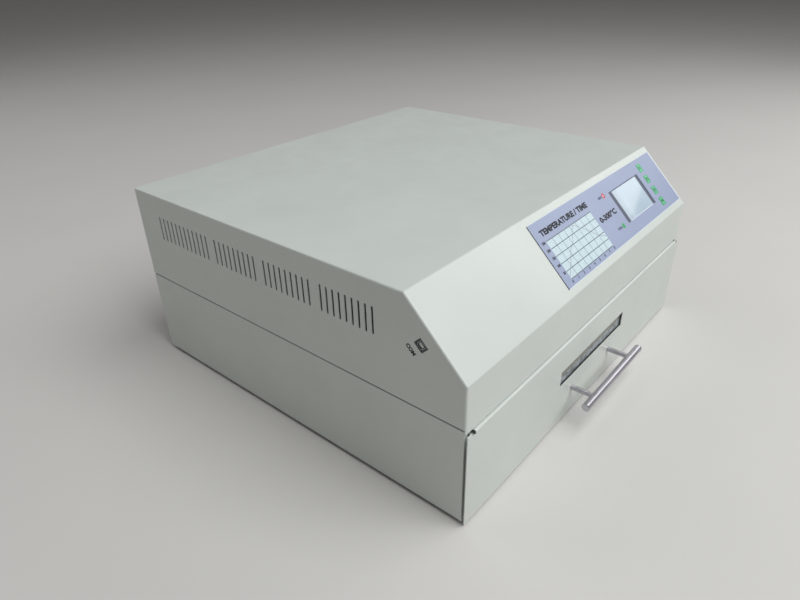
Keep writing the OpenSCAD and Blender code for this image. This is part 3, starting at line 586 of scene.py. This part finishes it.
def graph(place, field_ink, line_ink, column_ink, curve_ink, text_ink):
    u0, v0 = GRAPH_AT
    width, height = GRAPH_SIZE
    column = width / GRAPH_COLUMNS
    row = height / GRAPH_ROWS
    field = bmesh.new()
    add_prism(field, rectangle(u0, v0, u0 + width, v0 + height), -INK, INK, place)
    new_piece("graph_field", field, field_ink, "cabinet")

    thin = 0.3 * MM
    columns = bmesh.new()
    for i in range(1, GRAPH_COLUMNS):
        u = u0 + i * column
        add_prism(columns, rectangle(u - thin, v0, u + thin, v0 + height), 0, 1.5 * INK, place)
    new_piece("graph_columns", columns, column_ink, "cabinet")

    thick = 0.4 * MM
    rows = bmesh.new()
    for i in range(GRAPH_ROWS + 1):
        v = v0 + i * row
        add_prism(rows, rectangle(u0, v - thick, u0 + width, v + thick), 0, 2 * INK, place)
    new_piece("graph_rows", rows, line_ink, "cabinet")

    curve = bmesh.new()
    points = [(u0 + c * column, v0 + r * row) for c, r in PROFILE]
    add_prism(curve, stroke(points, 0.5 * MM), 0, 2.5 * INK, place)
    new_piece("graph_curve", curve, curve_ink, "cabinet")

    numbers = bmesh.new()
    for i in range(1, GRAPH_ROWS + 1):
        v = v0 + i * row - 1.7 * MM
        add_text(numbers, str(i * GRAPH_STEP), u0 - 2.5 * MM, v, 3.3 * MM, place, "RIGHT", weight=0.22 * MM)
    for i in range(GRAPH_COLUMNS + 1):
        add_text(numbers, str(i), u0 + i * column, v0 - 5 * MM, 3.3 * MM, place, weight=0.22 * MM)
    new_piece("graph_numbers", numbers, text_ink, "cabinet")


def display_window(place, frame_ink, pale_line_and_highlight_ink, screen):
    """The clear window over the display, flush with the film, with its dark sides and a pale strip on its
    lower edge that is a painted highlight.
    """
    low, high = box_in(place, "lcd_bezel")
    lip = 4 * MM
    u0, v0, u1, v1 = low.x + lip, low.y + lip, high.x - lip, high.y - lip
    left, right = 9.5 * MM, 8 * MM
    top = 1.5 * MM
    foot = 1 * MM
    sunk = -0.5 * MM
    pane = bmesh.new()
    add_prism(pane, rectangle(u0 + left, v0 + foot, u1 - right, v1 - top), -FILM, sunk, place)
    new_piece("display_window", pane, screen, "cabinet")
    edge = bmesh.new()
    add_prism(edge, rectangle(u0, v0, u0 + left, v1 - top), -FILM, sunk, place)
    add_prism(edge, rectangle(u1 - right, v0, u1, v1 - top), -FILM, sunk, place)
    add_prism(edge, rectangle(u0, v1 - top, u1, v1), -FILM, sunk, place)
    new_piece("display_frame", edge, frame_ink, "cabinet")
    # Pale strip along the lower edge: painted highlight where that edge catches the light.
    ledge = bmesh.new()
    add_prism(ledge, rectangle(u0 + left, v0, u1 - right, v0 + foot), -FILM, sunk, place)
    new_piece("display_edge_highlight", ledge, pale_line_and_highlight_ink, "cabinet")


def panel_lettering(place, text_ink):
    u0, v0 = GRAPH_AT
    title = bmesh.new()
    add_text(title, "TEMPERATURE / TIME", u0 - 1.5 * MM, v0 + GRAPH_SIZE[1] + 7.6 * MM, 7.2 * MM, place,
             "LEFT", width=124 * MM, weight=0.5 * MM)
    new_piece("panel_title", title, text_ink, "cabinet")
    span = bmesh.new()
    add_text(span, "0-300°C", u0 + GRAPH_SIZE[0] + 8.5 * MM, v0 + 32 * MM, 7.2 * MM, place, "LEFT",
             width=49 * MM, weight=0.5 * MM)
    new_piece("range_label", span, text_ink, "cabinet")


def lamp_marks(place, text_ink):
    """A printed ring round each lamp, and its label."""
    low, high = box_in(place, "indicator_lamps")
    u = (low.x + high.x) / 2
    lamp_r = (high.x - low.x) / 2
    red = ink("red_ink", tone(0.80, 0.22, 0.26))
    green = ink("green_ink", tone(0.26, 0.66, 0.42))
    lamps = (("heat", high.y - lamp_r, red, "HEAT"), ("cool", low.y + lamp_r, green, "COOL"))
    for name, v, color, words in lamps:
        ring = bmesh.new()
        add_band(ring, circle(u, v, lamp_r + 1.5 * MM), circle(u, v, lamp_r + 0.1 * MM), -INK, INK, place)
        new_piece(name + "_ring", ring, color, "cabinet")
        label = bmesh.new()
        add_text(label, words, u - lamp_r - 2.6 * MM, v - 1.5 * MM, 3 * MM, place, "RIGHT", weight=0.3 * MM)
        new_piece(name + "_label", label, text_ink, "cabinet")


def key_labels(place, text_ink):
    """A label and a raised rim on each key."""
    rim_ink = ink("key_rim_ink", tone(0.24, 0.62, 0.42))
    for i in range(1, 5):
        node = f"key_{i}"
        low, high = box_in(place, node)
        u = (low.x + high.x) / 2
        v = (low.y + high.y) / 2
        half_u = 5.6 * MM
        half_v = 6.2 * MM
        top = raised(place, high.z)
        label = bmesh.new()
        add_text(label, f"F{i}", u, v - 2.4 * MM, 4.8 * MM, top, weight=0.25 * MM)
        new_piece(f"key_label_{i}", label, text_ink, f"key_{i}_cap")
        rim = bmesh.new()
        step = 0.6 * MM
        outer = rectangle(u - half_u, v - half_v, u + half_u, v + half_v)
        inner = rectangle(u - half_u + step, v - half_v + step, u + half_u - step, v + half_v - step)
        add_band(rim, outer, inner, -INK, 3 * INK, top)
        new_piece(f"key_rim_{i}", rim, rim_ink, f"key_{i}_cap")


def print_panel(screen):
    place = panel_plane()
    pale = ink("pale_line_and_highlight_ink", tone(0.86, 0.89, 0.93))
    black = ink("black_ink", tone(0.03, 0.03, 0.06), 0.6)
    panel_border(place, ink("film_edge_and_shadow_ink", tone(0.13, 0.14, 0.20)), pale)
    display_window(place, ink("frame_ink", tone(0.30, 0.32, 0.40)), pale, screen)
    graph(place, ink("field_ink", tone(0.76, 0.83, 0.86)), ink("line_ink", tone(0.16, 0.20, 0.22)),
          ink("column_ink", tone(0.34, 0.40, 0.42)), ink("curve_ink", tone(0.52, 0.48, 0.56)), black)
    panel_lettering(place, black)
    lamp_marks(place, ink("lamp_ink", tone(0.22, 0.24, 0.36)))
    key_labels(place, ink("key_ink", tone(0.09, 0.27, 0.19)))
    return place


# Socket label on the left side

def socket_plane():
    """Plane of the cover's left side, centred on the socket and turned with it."""
    low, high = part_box("usb_socket")
    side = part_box("top_cover")[0].x
    centre = Vector((side, (low.y + high.y) / 2, (low.z + high.z) / 2))
    return plane_matrix(centre, -SLOPE_UP, SLOPE_OUT)


def socket_outline(half, cut):
    """A square with two cut corners towards the label."""
    return [(-half + cut, -half), (half - cut, -half), (half, -half + cut),
            (half, half), (-half, half), (-half, -half + cut)]


def socket_insert(bright):
    """The socket's pale plastic tongue, inside a bright sleeve with two cut corners."""
    place = socket_plane()
    front, rear = -1 * MM, -14 * MM
    half_u, half_v = 3.1 * MM, 1.9 * MM
    sleeve = bmesh.new()
    outer = socket_outline(4.5 * MM, 2 * MM)
    inner = socket_outline(4 * MM, 1.8 * MM)
    add_band(sleeve, outer, inner, rear, -0.6 * MM, place)
    new_piece("socket_sleeve", sleeve, bright, "cabinet")
    tongue = bmesh.new()
    add_prism(tongue, rectangle(-half_u, -half_v, half_u, half_v), rear, front, place)
    bmesh.ops.bevel(tongue, geom=tongue.edges[:], offset=0.25 * MM, segments=2, affect="EDGES")
    plastic = ink("tongue_plastic", tone(0.80, 0.81, 0.80))
    new_piece("socket_tongue", tongue, plastic, "cabinet")


def socket_label():
    """The label beside the socket, turned with it."""
    place = socket_plane()
    label = bmesh.new()
    add_text(label, "COM", -2.2 * MM, -18 * MM, 4.8 * MM, place, width=14 * MM, weight=0.4 * MM)
    new_piece("socket_label", label, ink("side_ink", tone(0.12, 0.12, 0.12)), "cabinet")


# Case seams

def seam_strips(material):
    """Black strip in the seam between the cover and the pan on each side, a little way in: painted shade of
    the gap.
    """
    cover_low, cover_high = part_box("top_cover")
    pan_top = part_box("base_pan")[1].z
    inset = 0.5 * MM
    depth = 3 * MM
    front = 3.2 * MM
    shape = bmesh.new()
    for side in (-1, 1):
        outer = side * (cover_high.x - inset)
        inner = side * (cover_high.x - inset - depth)
        x0, x1 = min(outer, inner), max(outer, inner)
        place = plane_matrix(Vector((0, 0, pan_top)), ACROSS, BACK)
        outline = rectangle(x0, cover_low.y + front, x1, cover_high.y - front)
        add_prism(shape, outline, 0.05 * MM, SEAM - 0.05 * MM, place)
    # The black strips are painted shade in the seam's gap.
    new_piece("seam_strips", shape, material, "cabinet")


# Window seal

def window_seal(material):
    """Bead of sealant between the window's gasket and its glass."""
    low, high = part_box("window_glass")
    lap = 7 * MM
    bead = 1.1 * MM
    half_u = (high.x - low.x) / 2 - lap
    half_v = (high.z - low.z) / 2 - lap
    place = plane_matrix(Vector(((low.x + high.x) / 2, low.y, (low.z + high.z) / 2)), ACROSS, UP)
    tuck = 0.3 * MM
    outer = rectangle(-half_u - tuck, -half_v - tuck, half_u + tuck, half_v + tuck)
    inner = rectangle(-half_u + bead, -half_v + bead, half_u - bead, half_v - bead)
    shape = bmesh.new()
    add_band(shape, outer, inner, -INK, 0.8 * MM, place)
    bmesh.ops.bevel(shape, geom=shape.edges[:], offset=0.2 * MM, segments=2, affect="EDGES")
    new_piece("window_seal", shape, material, "drawer")


# Tray mesh

def woven_tray(material):
    """Woven wire mesh in a round wire frame."""
    low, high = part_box("wire_tray")
    frame_r = (high.z - low.z) / 2
    z = (low.z + high.z) / 2
    wire_r = 0.8 * MM
    pitch = 12 * MM
    inset = Vector((frame_r, frame_r, 0))
    a, b = low + inset, high - inset
    shape = bmesh.new()
    corners = [Vector((a.x, a.y, z)), Vector((b.x, a.y, z)), Vector((b.x, b.y, z)), Vector((a.x, b.y, z))]
    corner_r = 8 * MM
    loop = []
    for i, corner in enumerate(corners):
        start = math.pi * (1 + i / 2)
        inward = Vector((1 if i in (0, 3) else -1, 1 if i in (0, 1) else -1, 0))
        centre = corner + corner_r * inward
        for k in range(7):
            angle = start + math.pi / 2 * k / 6
            loop.append(centre + corner_r * Vector((math.cos(angle), math.sin(angle), 0)))
    add_tube(shape, loop + [loop[0]], frame_r, 12, closed_ends=False)
    counts = [round((b.x - a.x) / pitch), round((b.y - a.y) / pitch)]
    steps = [(b.x - a.x) / counts[0], (b.y - a.y) / counts[1]]
    for along, other in ((0, 1), (1, 0)):
        for i in range(1, counts[other]):
            path = []
            for k in range(2 * counts[along] + 1):
                wave = 0 if k % 2 else (1 if (k // 2 + i + along) % 2 else -1)
                point = Vector((0, 0, z + wave * wire_r))
                point[along] = a[along] + k * steps[along] / 2
                point[other] = a[other] + i * steps[other]
                path.append(point)
            add_tube(shape, path, wire_r, 6)
    tray = smooth(new_piece("tray_mesh", shape, material, "drawer"))
    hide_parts("wire_tray")


# Heater coils

def heater_coils():
    low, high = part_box("quartz_tubes")
    tube_r = (high.z - low.z) / 2
    axis_z = (low.z + high.z) / 2
    count = 6
    coil_r = 2.9 * MM
    pitch = 4 * MM
    per_turn = 10
    margin = 12 * MM
    turns = round((high.x - low.x - 2 * margin) / pitch)
    shape = bmesh.new()
    for i in range(count):
        y = low.y + tube_r + i * (high.y - low.y - 2 * tube_r) / (count - 1)
        path = []
        for k in range(turns * per_turn + 1):
            angle = 2 * math.pi * k / per_turn
            x = low.x + margin + pitch * k / per_turn
            path.append(Vector((x, y + coil_r * math.cos(angle), axis_z + coil_r * math.sin(angle))))
        add_tube(shape, path, 0.45 * MM, 4)
    smooth(new_piece("heater_coils", shape, heating_wire(), "cabinet"))


# Ceramic wool linings

def soft_lining(node, name, body, material):
    """The lining's CAD solid with soft edges and an uneven fibrous face, kept inside its space."""
    voxel = 5 * MM
    sink = 0.35 * MM
    swell = 0.9 * MM
    lump = 45 * MM
    mesh = frame["nodes"][node].data.copy()
    lining = bpy.data.objects.new(name, mesh)
    bpy.context.scene.collection.objects.link(lining)
    grid = lining.modifiers.new("grid", "REMESH")
    grid.mode = "VOXEL"
    grid.voxel_size = voxel
    round_off = lining.modifiers.new("round_off", "SMOOTH")
    round_off.iterations = 3
    round_off.factor = 0.5
    bpy.context.view_layer.update()
    shaped = bpy.data.meshes.new_from_object(lining.evaluated_get(bpy.context.evaluated_depsgraph_get()))
    lining.modifiers.clear()
    lining.data = shaped
    shaped.materials.clear()
    shaped.materials.append(material)
    normals = [vertex.normal.copy() for vertex in shaped.vertices]
    places = [vertex.co.copy() for vertex in shaped.vertices]
    sunk = []
    for place, normal in zip(places, normals):
        depth = sink + swell * (0.5 + 0.5 * noise.noise(place / lump))
        sunk.extend(place - normal * depth)
    shaped.vertices.foreach_set("co", sunk)
    smooth(lining)
    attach(lining, body)
    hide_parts(node)


# Rear fittings

def inlet_pins(material):
    """Blades of the mains inlet, with bevelled ends."""
    low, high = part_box("power_inlet")
    centre = Vector(((low.x + high.x) / 2, high.y, (low.z + high.z) / 2))
    place = plane_matrix(centre, -ACROSS, UP)
    half = (1.15 * MM, 2.15 * MM)
    tip, root = -6 * MM, -15 * MM
    shape = bmesh.new()
    for u, v in ((-7 * MM, -2 * MM), (7 * MM, -2 * MM), (0, 2 * MM)):
        add_prism(shape, rectangle(u - half[0], v - half[1], u + half[0], v + half[1]), root, tip, place)
    back = place.inverted()
    tops = [face for face in shape.faces if all(abs((back @ p.co).z - tip) < 1e-7 for p in face.verts)]
    edges = [edge for face in tops for edge in face.edges]
    bmesh.ops.bevel(shape, geom=edges, offset=0.4 * MM, segments=2, affect="EDGES")
    new_piece("inlet_pins", shape, material, "cabinet")


def hub_labels():
    """A plain sticker on each fan's hub."""
    paper = ink("sticker_paper", tone(0.80, 0.80, 0.78), 0.3)
    mark = ink("sticker_mark", tone(0.25, 0.27, 0.33))
    for node, body in (("exhaust_impeller", "exhaust_rotor"), ("cooling_impeller", "cooling_rotor")):
        low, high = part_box(node)
        centre = Vector(((low.x + high.x) / 2, high.y, (low.z + high.z) / 2))
        place = plane_matrix(centre, -ACROSS, UP)
        sticker = bmesh.new()
        add_prism(sticker, circle(0, 0, 14 * MM, 48), -INK, INK, place)
        new_piece(body + "_sticker", sticker, paper, body)
        rings = bmesh.new()
        add_band(rings, circle(0, 0, 12 * MM, 48), circle(0, 0, 11.2 * MM, 48), 0, 2 * INK, place)
        add_prism(rings, rectangle(-6 * MM, 3 * MM, 6 * MM, 4.2 * MM), 0, 2 * INK, place)
        add_prism(rings, rectangle(-4 * MM, -4 * MM, 4 * MM, -3 * MM), 0, 2 * INK, place)
        new_piece(body + "_sticker_print", rings, mark, body)


# Studio

def add_floor():
    size = 80
    shape = bmesh.new()
    bmesh.ops.create_grid(shape, x_segments=2, y_segments=2, size=size / 2)
    mesh = bpy.data.meshes.new("floor")
    shape.to_mesh(mesh)
    shape.free()
    floor = bpy.data.objects.new("floor", mesh)
    bpy.context.scene.collection.objects.link(floor)
    surface = Finish("floor", tone(0.80, 0.79, 0.78), 0.75)
    surface.tint(surface.cloud(300 * MM, detail=3), 0.985, 1.01)
    mesh.materials.append(surface.material)


def add_lamp(name, at, target, size, power, color=(1, 1, 1)):
    data = bpy.data.lights.new(name, "AREA")
    data.size = size
    data.energy = power
    data.color = color
    lamp = bpy.data.objects.new(name, data)
    bpy.context.scene.collection.objects.link(lamp)
    lamp.location = at
    lamp.rotation_euler = (at - target).to_track_quat("Z", "Y").to_euler()


def add_sky():
    world = bpy.data.worlds.new("sky")
    bpy.context.scene.world = world
    world.use_nodes = True
    background = world.node_tree.nodes["Background"]
    background.inputs["Color"].default_value = (1.0, 0.99, 0.96, 1)
    background.inputs["Strength"].default_value = 0.135


def add_studio():
    middle = Vector((0, 0, 0.13))
    add_floor()
    add_sky()
    add_lamp("key_light", Vector((0.25, -1.9, 2.85)), middle, 3, 115, (0.975, 1, 1))
    add_lamp("right_strip", Vector((2.2, -1.0, 1.5)), middle, 1.2, 10)
    add_lamp("rear_fill", Vector((-0.9, 2.3, 2.2)), middle, 1.8, 15)
    bpy.context.scene.view_settings.view_transform = "Standard"


def add_camera():
    level = math.cos(CAMERA_ELEVATION)
    backward = Vector((math.sin(CAMERA_AZIMUTH) * level, -math.cos(CAMERA_AZIMUTH) * level,
                       math.sin(CAMERA_ELEVATION)))
    right = UP.cross(backward).normalized()
    level_turn = Matrix((right, backward.cross(right), backward)).transposed()
    turn = level_turn @ Matrix.Rotation(CAMERA_ROLL, 3, "Z")
    data = bpy.data.cameras.new("camera")
    data.lens = LENS
    camera = bpy.data.objects.new("camera", data)
    bpy.context.scene.collection.objects.link(camera)
    camera.matrix_world = Matrix.Translation(CAMERA_AT) @ turn.to_4x4()
    bpy.context.scene.camera = camera


add_camera()
add_studio()
finishes = finish_cad_nodes()
print_panel(finishes["lcd_glass"])
socket_insert(finishes["slide_steel"])
socket_label()
woven_tray(finishes["bright_wire"])
heater_coils()
soft_lining("drawer_insulation", "drawer_lining", "drawer", finishes["mineral_wool"])
soft_lining("hood_insulation", "hood_lining", "cabinet", finishes["mineral_wool"])
# Black strips in the side seams: painted shade.
seam_strips(finishes["rubber_black"])
window_seal(finishes["rubber_black"])
inlet_pins(finishes["socket_shell"])
hub_labels()
